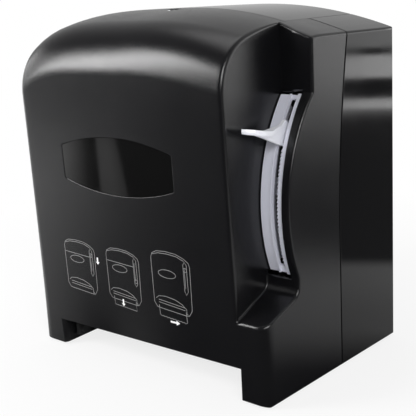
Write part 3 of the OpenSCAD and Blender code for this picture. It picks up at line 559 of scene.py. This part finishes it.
def from_shaft(r, angle):
    a = math.radians(angle)
    return PIVOT[0] - r * math.cos(a), PIVOT[1] + r * math.sin(a)


def swept(name, r0, r1, x0, x1, a0, a1, steps=64):
    """A rectangular section turned about the lever shaft."""
    rings = []
    for i in range(steps + 1):
        a = a0 + (a1 - a0) * i / steps
        rings.append([(x, *from_shaft(r, a)) for x, r in ((x0, r0), (x0, r1), (x1, r1), (x1, r0))])
    return loft(name, rings)


def recess_outline():
    low = from_shaft(LIP_R, GUIDE_LOW)
    c = (low[0] - SCOOP_R, low[1] - 7)
    tilt = math.degrees(math.atan(FLOOR_SLOPE))
    around = [(c[0] + SCOOP_R * math.cos(math.radians(a)), c[1] + SCOOP_R * math.sin(math.radians(a)))
              for a in [(tilt - 90) * (1 - i / 16) for i in range(17)]]
    foot, front = around[0], -60
    wall = [from_shaft(LIP_R, GUIDE_LOW + (GUIDE_HIGH - GUIDE_LOW) * i / 60) for i in range(61)]
    up = SIDE_H + CROWN_H + 20
    return [(front, foot[1] - (foot[0] - front) * FLOOR_SLOPE)] + around + wall + [(wall[-1][0], up), (front, up)]


def recess_air(name, grow=0.0):
    """The pocket itself, and the upper part with its slanting wall."""
    outline = recess_outline()
    plan = [(RECESS_X, -60), (BACK_W, -60), (BACK_W, UPPER_OUT_Y - 2), (half_width(80), UPPER_OUT_Y),
            (RECESS_X, UPPER_IN_Y)]
    if grow:
        outline, plan = grown(outline, grow), grown(plan, grow)
    start = RECESS_X - grow
    rings = []
    for i in range(7):
        a = math.radians(90 * i / 6)
        shrunk = grown(outline, -INNER_SOFT * (1 - math.sin(a)))
        rings.append([(start + INNER_SOFT * (1 - math.cos(a)), y, z) for y, z in shrunk])
    rings.append([(BACK_W, y, z) for y, z in outline])
    pocket = loft(name, rings)
    top = upward(name + "_top", plan, from_shaft(LIP_R, GUIDE_HIGH)[1] - grow, SIDE_H + CROWN_H + 60)
    return carve(pocket, [top], "UNION")


NOTCH_H, NOTCH_HALF, NOTCH_R = 36.0, 134.0, 8.0


def notch_air(name, grow=0.0):
    c = NOTCH_HALF + NOTCH_R
    right = [(c, -60)] + [(c - NOTCH_R * math.sin(math.radians(90 * i / 12)),
                           NOTCH_R - 2 - NOTCH_R * math.cos(math.radians(90 * i / 12))) for i in range(13)]
    right.append((NOTCH_HALF, BODY_D))
    plan = right + [(-x, y) for x, y in reversed(right)]
    plan = grown(plan, grow) if grow else plan
    # Unlike in the CAD model, the upper edge hangs a little lower, most of all on the left.
    return loft(name, [[(x, y, -20) for x, y in plan],
                       [(x, y, NOTCH_H + grow - 0.8 - 4.0 * (c - x) / (2 * c)) for x, y in plan]])


WINDOW_W, WINDOW_END_H, WINDOW_RISE, WINDOW_X, WINDOW_Z = 165.8, 38.4, 13.0, -17.8, 232.0


def window_outline(inset, steps=48):
    """(x, z) points of the window: two bowed edges between short upright ends."""
    r = ((WINDOW_W / 2) ** 2 + WINDOW_RISE ** 2) / (2 * WINDOW_RISE)
    up = WINDOW_END_H / 2 + WINDOW_RISE - r
    half, r = WINDOW_W / 2 - inset, r - inset
    upper = [(half * (1 - 2 * i / steps), up + math.sqrt(r * r - (half * (1 - 2 * i / steps)) ** 2))
             for i in range(steps + 1)]
    line = upper + [(-x, -z) for x, z in upper]
    return [(WINDOW_X + x, WINDOW_Z + z) for x, z in line]


def through_front(name, inset=0.0, y0=-50.0, y1=30.0):
    return loft(name, [[(x, y, z) for x, z in window_outline(inset)] for y in (y0, y1)])


# %% [markdown]
# Moulded edges are never sharp, and on dark plastic the rounding is what the light
# draws. Each visible edge is rounded by its own small cutter: a fillet section that is
# swept along the true line where two surfaces meet, tangent to both of them.

# %% Fillet cutter
def fillet(name, path, closed=False):
    """Sweeps a concave corner section along (point, outer normal, cut normal, radius)."""
    points = [Vector(row[0]) for row in path]
    count = len(points)
    rings = []
    for i, (_, outer, cut, radius) in enumerate(path):
        before = points[i - 1] if closed or i else points[0]
        after = points[(i + 1) % count] if closed or i < count - 1 else points[-1]
        along = (after - before).normalized()
        outer, cut = Vector(outer).normalized(), Vector(cut).normalized()
        a = along.cross(outer).normalized()
        a = -a if a.dot(cut) > 0 else a
        b = along.cross(cut).normalized()
        b = -b if b.dot(outer) > 0 else b
        edge, start, end = points[i], points[i] + a * radius, points[i] + b * radius
        curve = [start * (1 - t) ** 2 + edge * 2 * t * (1 - t) + end * t * t for t in (k / 6 for k in range(7))]
        rings.append([tuple(p) for p in curve] + [tuple(edge - (a + b) * min(1.5, radius))])
    if not closed:
        return loft(name, rings)
    n = len(rings[0])
    faces = []
    for k in range(count):
        for i in range(n):
            j, m = (i + 1) % n, (k + 1) % count
            faces.append((k * n + i, k * n + j, m * n + j, m * n + i))
    return solid(name, [p for ring in rings for p in ring], faces)


# %% [markdown]
# A fillet has to know where the skin is and which way it faces. These functions ask the
# same side profiles that the body is lofted from, so that cutter and skin agree.

# %% Points and normals of the skin
def front_y(s, z):
    k = side_rounding(s)
    return EDGE_FOOT * k - (FRONT_LEAN - EDGE_BROW / SIDE_H * k) * z


def on_front(s, z):
    y = front_y(s, z)
    return Vector((s * half_width(y), y, z))


def front_normal(s, z):
    d = 0.0005
    across_it = on_front(min(1.0, s + d), z) - on_front(s - d, z)
    return across_it.cross(on_front(s, z + 1) - on_front(s, z - 1))


def crown_z(x, y):
    s = x / half_width(y)
    top = SIDE_H + CROWN_H * (1 - abs(s) ** (CROWN_LEFT if s < 0 else CROWN_RIGHT))
    return top - TOP_R + math.sqrt(TOP_R ** 2 - max(0.0, TOP_LEVEL_Y - y) ** 2)


def crown_normal(x, y):
    along_x = Vector((1, 0, crown_z(x + 0.5, y) - crown_z(x - 0.5, y)))
    along_y = Vector((0, 1, crown_z(x, y + 0.5) - crown_z(x, y - 0.5)))
    return along_x.cross(along_y)


def on_body(x, i):
    """The skin point of profile index i in the plane of constant x."""
    s = x / half_width(0)
    for _ in range(6):
        y, z = side_profile(s, 0)[i]
        s = x / half_width(y)
    return Vector((x, y, z))


def body_normal(x, i):
    return (on_body(x + 0.5, i) - on_body(x - 0.5, i)).cross(on_body(x, i + 1) - on_body(x, i - 1))


# %% [markdown]
# The mouth of the recess is the edge that the eye follows, so its rounding changes on
# the way: wide along the lip, narrow where it dies out in the dome.

# %% Edges of the recess and the window
def recess_edge():
    """Round the mouth of the recess: down its inner wall, along the lip, up the side."""
    outline = recess_outline()
    foot = outline[1]
    path = []
    for i in range(46, 1, -1):
        p = on_body(RECESS_X, i)
        if 95 < p.z and p.y < 88:
            path.append((p, body_normal(RECESS_X, i), (1, 0, 0), 4.6 - 3.2 * max(0.0, (p.y - 20) / 70)))
    floor_z = (foot[1] - foot[0] * FLOOR_SLOPE) / (1 + FLOOR_SLOPE * FRONT_LEAN)
    middle = (RECESS_X + INNER_SOFT, floor_z + INNER_SOFT)
    for i in range(9):
        a = math.radians(180 + 90 * i / 8)
        x, z = middle[0] + INNER_SOFT * math.cos(a), middle[1] + INNER_SOFT * math.sin(a)
        s = x / half_width(front_y(x / half_width(0), z))
        path.append((on_front(s, z), front_normal(s, z), (-math.cos(a), 0, -math.sin(a)), 4.6))
    s0 = (middle[0] + 2) / half_width(0)
    up = (0, -FLOOR_SLOPE, 1)
    for i in range(25):
        s = s0 + (1 - s0) * math.sin(math.radians(90 * i / 24))
        k = side_rounding(s)
        lean, start = FRONT_LEAN - EDGE_BROW / SIDE_H * k, EDGE_FOOT * k
        z = (foot[1] + (start - foot[0]) * FLOOR_SLOPE) / (1 + FLOOR_SLOPE * lean)
        path.append((on_front(s, z), front_normal(s, z), up, 4.6 - 1.4 * (i / 24)))
    side = [(path[-1][0].y + 6, 0), foot] + outline[2:-2] + [(outline[-3][0], SIDE_H + 30)]
    side[0] = (side[0][0], foot[1] + (side[0][0] - foot[0]) * FLOOR_SLOPE)
    for i, (y, z) in enumerate(side):
        before, after = side[max(0, i - 1)], side[min(len(side) - 1, i + 1)]
        path.append(((half_width(y), y, z), (1, -TAPER, 0), (0, before[1] - after[1], after[0] - before[0]), 3.2))
    return fillet("recess_edge", path)


def upper_wall_edge():
    """Where the wall above the strip meets the top of the cover."""
    flat_y = from_shaft(LIP_R, GUIDE_HIGH)[0]
    slope = (UPPER_OUT_Y - UPPER_IN_Y) / (half_width(80) - RECESS_X)
    path = []
    for i in range(19):
        x = RECESS_X - 0.8 + (half_width(84) + 3 - RECESS_X) * i / 18
        y = max(flat_y, UPPER_IN_Y + slope * (x - RECESS_X))
        wall = (slope, -1, 0) if y > flat_y else (0, -1, 0)
        path.append(((x, y, crown_z(x, y)), crown_normal(x, y), wall, 3.4))
    return fillet("upper_edge", path)


def window_edge(radius=0.9):
    path, outline = [], window_outline(0)
    for i, (x, z) in enumerate(outline):
        before, after = Vector(outline[i - 1]), Vector(outline[(i + 1) % len(outline)])
        inward = Vector((-(after - before).y, 0, (after - before).x))
        to_middle = Vector((WINDOW_X - x, 0, WINDOW_Z - z))
        inward = -inward if inward.dot(to_middle) < 0 else inward
        path.append(((x, -FRONT_LEAN * z, z), (0, -1, -FRONT_LEAN), inward, radius))
    return fillet("window_edge", path, closed=True)


# %% [markdown]
# Both shells have a small rounding along the seam. It is what turns the gap between
# them into a dark line with a thin light edge.

# %% Edges of the seams
SEAM_EDGE_R = 0.8
TOP_EDGE_X = 186
TOP_SIDE_SEAM_Y = seam_at(SIDE_H + 6)
HAIR = 0.001


def side_seam_edge(name, side, shift):
    """The upright seam edge of one shell; shift is negative for the cover."""
    path = []
    for i in range(43):
        z = -6 + (SIDE_H + 12) * i / 42
        y = seam_at(z) + shift
        lean = seam_at(z + 1) - seam_at(z)
        cut = (0, 1, -lean) if shift < 0 else (0, -1, lean)
        path.append(((side * half_width(y), y, z), (side, -TAPER, 0), cut, SEAM_EDGE_R))
    return fillet(name, path)


def top_edge(name, x0, x1, y, cut):
    """A seam edge that runs across the top."""
    path = []
    for i in range(41):
        x = x0 + (x1 - x0) * i / 40
        path.append(((x, y, crown_z(x, y)), crown_normal(x, y), (0, cut, 0), SEAM_EDGE_R))
    return fillet(name, path)


# %% [markdown]
# The front cover is the body, hollowed, with the recess, the paper opening and the
# window cut through it and everything behind the seam taken away. The hollow leaves
# a wall of even thickness round the recess too, as in a moulding, so the pocket is
# solid when the cover swings open.

# %% Front cover
def smooth(obj, angle=30):
    for face in obj.data.polygons:
        face.use_smooth = True
    obj.data.set_sharp_from_angle(angle=math.radians(angle))
    return obj


LOCK_Y, LOCK_R = 84.0, 8.0
LOCK_TOP = SIDE_H + CROWN_H - (TOP_LEVEL_Y - LOCK_Y) ** 2 / (2 * TOP_R) - 0.6
HINGE = (25.0, 12.0)

hollow = body_form("hollow", WALL)
carve(hollow, [
    recess_air("recess_wall", WALL),
    notch_air("notch_wall", WALL),
    swept("collar", GUIDE_R - 6.5, LIP_R + 1, RECESS_X - WALL, GUIDE_END + WALL, GUIDE_LOW, GUIDE_HIGH),
    post("lock_boss", 0, LOCK_Y, LOCK_R + WALL, LOCK_TOP - 14, LOCK_TOP + 16),
])
cover = body_form("cover_shell", soft=True)
low, top = from_shaft(GUIDE_R, GUIDE_LOW), from_shaft(GUIDE_R, GUIDE_HIGH)
carve(cover, [
    hollow,
    recess_air("recess"),
    notch_air("notch"),
    swept("strip_slot", GUIDE_R - 10.5, LIP_R + 3.5, RECESS_X, GUIDE_END, GUIDE_LOW - 1, GUIDE_HIGH + 0.6),
    block("strip_foot", (RECESS_X, low[0] - 16, low[1] - 2.5), (GUIDE_END, low[0] + 18, low[1] + 13.5)),
    block("strip_head", (RECESS_X, top[0] - 6, top[1] - 12), (GUIDE_END, top[0] + 24, top[1] + 2.2)),
    tongue("tongue_cut"),
    behind_seam("behind", -SEAM_GAP),
    block("inner_opening", (-NOTCH_HALF, WALL + 2, 10), (NOTCH_HALF, FAR, NOTCH_H + 22)),
    through_front("window_hole"),
    bar("hinge_left", HINGE, 3.06, -141, -129),
    bar("hinge_right", HINGE, 3.06, 129, 141),
    post("lock_hole", 0, LOCK_Y, LOCK_R + 0.06, LOCK_TOP - 30, LOCK_TOP + 30),
    recess_edge(),
    upper_wall_edge(),
    window_edge(),
    side_seam_edge("seam_edge_right", 1, -SEAM_GAP),
    side_seam_edge("seam_edge_left", -1, -SEAM_GAP),
    top_edge("tongue_edge", -TONGUE_HALF, TONGUE_HALF, TOP_SEAM_Y, 1),
    top_edge("top_seam_right", TONGUE_HALF, TOP_EDGE_X, TOP_SIDE_SEAM_Y - SEAM_GAP, 1),
    top_edge("top_seam_left", -TOP_EDGE_X, -TONGUE_HALF, TOP_SIDE_SEAM_Y - SEAM_GAP, 1),
])
smooth(cover)
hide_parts("front_cover")
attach(cover, "cover")
print("cover", len(cover.data.polygons), "faces")

# %% [markdown]
# The rear shell is the other half of the same body. It keeps the wide tongue on top,
# carries a lip that the cover closes over, and is open underneath for the paper.

# %% Rear housing
PINCH_Y = 100.741
SCREW_R = 3
housing = body_form("housing_shell", soft=True)
front_air = before_seam("front_air")
carve(front_air, [tongue("tongue_keep", -SEAM_GAP / 2)])
carve(housing, [
    body_form("inside", WALL),
    front_air,
    block("base_opening", (-NOTCH_HALF, -60, -10), (NOTCH_HALF, PINCH_Y + 60, 10)),
])
for x in (-100, 100):
    for z in (70, 310):
        hole = loft("screw_hole", [[(px, y, pz) for px, pz in circle((x, z), SCREW_R, 36)]
                                   for y in (BODY_D - 20, BODY_D + 20)])
        carve(housing, [hole])


# %% [markdown]
# The lip is a thin ring behind the seam. The two grooves on the top run back from the
# corners of the tongue; they are only in the visual, since the CAD model has none.

# %% Lip and grooves
LIP_PLAY, LIP_T, LIP_REACH = 0.4, 1.8, 7.0
GROOVE_HALF, GROOVE_DEEP = 0.6, 1.0


def lip_ring(name, inset, front):
    ring = body_form(name, inset)
    return carve(ring, [before_seam(name + "_front", -front), behind_seam(name + "_back", LIP_REACH)])


lip = carve(lip_ring("lip", WALL + LIP_PLAY, LIP_REACH), [lip_ring("lip_root", WALL - 0.1, -0.5)], "UNION")
carve(lip, [
    body_form("lip_inside", WALL + LIP_PLAY + LIP_T),
    block("lip_base", (-FAR, -100, -10), (FAR, FAR, 52)),
    block("lip_tongue", (-TONGUE_HALF, 0, 0), (TONGUE_HALF, FAR, 2 * SIDE_H)),
])
carve(housing, [lip], "UNION")
grooves = []
for side in (-1, 1):
    rings = []
    for i in range(13):
        y = TOP_SIDE_SEAM_Y - 2 + (BODY_D + 4 - TOP_SIDE_SEAM_Y) * i / 12
        x = side * TONGUE_HALF
        z = crown_z(x, y)
        left, right = x - GROOVE_HALF, x + GROOVE_HALF
        floor_z, air_z = z - GROOVE_DEEP, z + 5
        rings.append([(left, y, floor_z), (right, y, floor_z), (right, y, air_z), (left, y, air_z)])
    grooves.append(loft("top_groove", rings))
carve(housing, grooves + [
    side_seam_edge("housing_edge_right", 1, HAIR),
    side_seam_edge("housing_edge_left", -1, HAIR),
    top_edge("tongue_front", -TONGUE_HALF, TONGUE_HALF, TOP_SEAM_Y + SEAM_GAP / 2, -1),
    top_edge("housing_top_right", TONGUE_HALF, TOP_EDGE_X, TOP_SIDE_SEAM_Y, -1),
    top_edge("housing_top_left", -TOP_EDGE_X, -TONGUE_HALF, TOP_SIDE_SEAM_Y, -1),
])
smooth(housing)
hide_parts("rear_housing")
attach(housing, "housing")
print("housing", len(housing.data.polygons), "faces")

# %% [markdown]
# Three small printed pictograms of the loading steps, in an outline style of their
# own: pull the lever down, draw the towel, tear it sideways. The print is a thin layer
# of ink that lies on the leaning front.

# %% Printed pictograms
def ink(name, lines, width=0.62, thick=0.12):
    """Raised strips along (x, z) lines on the front face, all in one mesh."""
    points, faces = [], []
    face_out = Vector((0, -1, -FRONT_LEAN)).normalized()
    for line in lines:
        spots = [Vector((x, -FRONT_LEAN * z, z)) for x, z in line]
        closed = line[0] == line[-1]
        first = len(points)
        for i, spot in enumerate(spots):
            before = spots[i - 1] if i else (spots[-2] if closed else spots[0])
            after = spots[i + 1] if i < len(spots) - 1 else (spots[1] if closed else spots[-1])
            aside = (after - before).normalized().cross(face_out) * width / 2
            points += [spot + aside - face_out * 0.1, spot - aside - face_out * 0.1,
                       spot - aside + face_out * thick, spot + aside + face_out * thick]
        last = first + 4 * (len(spots) - 1)
        for k in range(first, last, 4):
            faces += [(k + i, k + (i + 1) % 4, k + 4 + (i + 1) % 4, k + 4 + i) for i in range(4)]
        faces += [(first + 3, first + 2, first + 1, first), (last, last + 1, last + 2, last + 3)]
    return solid(name, points, faces)


def arrow(name, x, z, dx, dz, reach=8.5, fat=1.0, thick=0.14):
    """A filled arrow on the front face, centred on (x, z)."""
    shape = [(-0.5, -0.13), (0.12, -0.13), (0.12, -0.34), (0.5, 0), (0.12, 0.34), (0.12, 0.13), (-0.5, 0.13)]
    shape = [(u, v * fat) for u, v in shape]
    flat = [(x + (u * dx - v * dz) * reach, z + (u * dz + v * dx) * reach) for u, v in shape]
    return loft(name, [[(px, -FRONT_LEAN * pz + y, pz) for px, pz in flat] for y in (0.1, -thick)])


def oval(x, z, half_w, half_h, sides):
    line = [(x + half_w * math.cos(2 * math.pi * a / sides), z + half_h * math.sin(2 * math.pi * a / sides))
            for a in range(sides)]
    return line + line[:1]


def pictogram(x0, z0, lever_v, towel, size=1.0):
    """Lines of a dispenser outline, 50 mm wide at size 1, from its lower left corner."""
    lines = [
        [(0, 7), (0, 54), (2, 58.5), (8, 61.5), (20, 62.4), (33, 61.6), (43, 58.6), (49, 55), (50.5, 51),
         (49.6, 6), (45.5, 0), (42.5, 2)],
        [(0, 7), (3.5, 2), (8, 1.4), (42.5, -0.6), (45.5, 0)],
        [(2.6, 11), (6.5, 14), (16, 15), (28, 13.6), (37, 10.4), (42.4, 6), (42.5, -0.6)],
        [(6, 10.2), (40, 7.6)], [(6, 7.4), (40.6, 4.8)],
        [(42, 52), (44, 55.5), (46.4, 52), (46.4, 25), (44, 21.5), (42, 25), (42, 52)],
        [(43.4, 49), (43.4, 28)],
        oval(44, lever_v, 2.2, 2.2, 12),
        oval(20, 39, 11.5, 4.2, 24),
        [(2, 57.4), (10, 59.6), (22, 60.2), (34, 59.2), (43.4, 56)],
    ]
    if towel == "straight":
        lines.append([(7, 4.4), (7.6, -5.4), (41.4, -7.6), (41, 3)])
    if towel == "torn":
        teeth = [(6.6 + i * 1.95, -6 - i * 0.12 - (i % 2) * 1.1) for i in range(1, 19)]
        lines.append([(6, 4.4), (6.6, -6)] + teeth + [(42.2, -8), (41.4, 3)])
    else:
        lines.append([(0.4, 46.5), (41.6, 44.6)])
    return [[(x0 + u * size, z0 + v * size) for u, v in line] for line in lines]


prints = [
    ink("pictogram_pull", pictogram(-116, 76, 47, "none")),
    ink("pictogram_draw", pictogram(-46, 76, 28, "straight")),
    ink("pictogram_tear", pictogram(24, 79, 47, "torn", 1.08)),
    arrow("arrow_pull", -61.2, 118, 0, -1),
    arrow("arrow_draw", -25.2, 74.6, 0, -1),
    arrow("arrow_tear", 52.0, 67.2, 1, 0, reach=13.5, fat=0.62),
]
for i, piece in enumerate(prints):
    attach(piece, "cover")
    piece.data.materials.append(PRINT_GREY if i < 3 else PRINT_WHITE)


# %% [markdown]
# Every piece of the CAD model gets the finish that its record names. A few get their
# own. Nine of them also get a small bevel, because sharp edges catch no light, and the
# flat sides of the shells get even normals, so that they mirror without waves.

# %% Finish the CAD pieces
SLOTS = {row["node"]: row["material_slot"] for row in frame["record"]["subparts"]}
for name, node in frame["nodes"].items():
    node.data.materials.clear()
    node.data.materials.append(MATERIALS[SLOTS[name]])
# The side plates, hinge pins and tie screws get a near-black steel instead of the steel that their record names.
OWN_FINISH = {"lever_arm": LEVER_WHITE, "side_plate_left": DARK_STEEL, "side_plate_right": DARK_STEEL,
              "hinge_pins": DARK_STEEL, "tie_screws": DARK_STEEL}
for name, material in OWN_FINISH.items():
    frame["nodes"][name].data.materials.clear()
    frame["nodes"][name].data.materials.append(material)
SOFT_EDGES = {"window_pane": 0.4, "lever_arm": 0.5, "lever_guide": 0.35, "cover_pads": 1.0, "housing_pads": 1.0,
              "side_plate_left": 0.3, "side_plate_right": 0.3, "lock_keeper": 0.3, "lock_hook": 0.3}
for name, width in SOFT_EDGES.items():
    soften = frame["nodes"][name].modifiers.new("soft_edges", "BEVEL")
    soften.width, soften.segments, soften.limit_method = width / 1000, 2, "ANGLE"
    soften.angle_limit = math.radians(40)
for shell in (cover, housing):
    even = shell.modifiers.new("even_normals", "WEIGHTED_NORMAL")
    even.keep_sharp = True
cover.data.materials.clear()
cover.data.materials.append(MATERIALS["cover_black"])
housing.data.materials.clear()
housing.data.materials.append(MATERIALS["housing_black"])
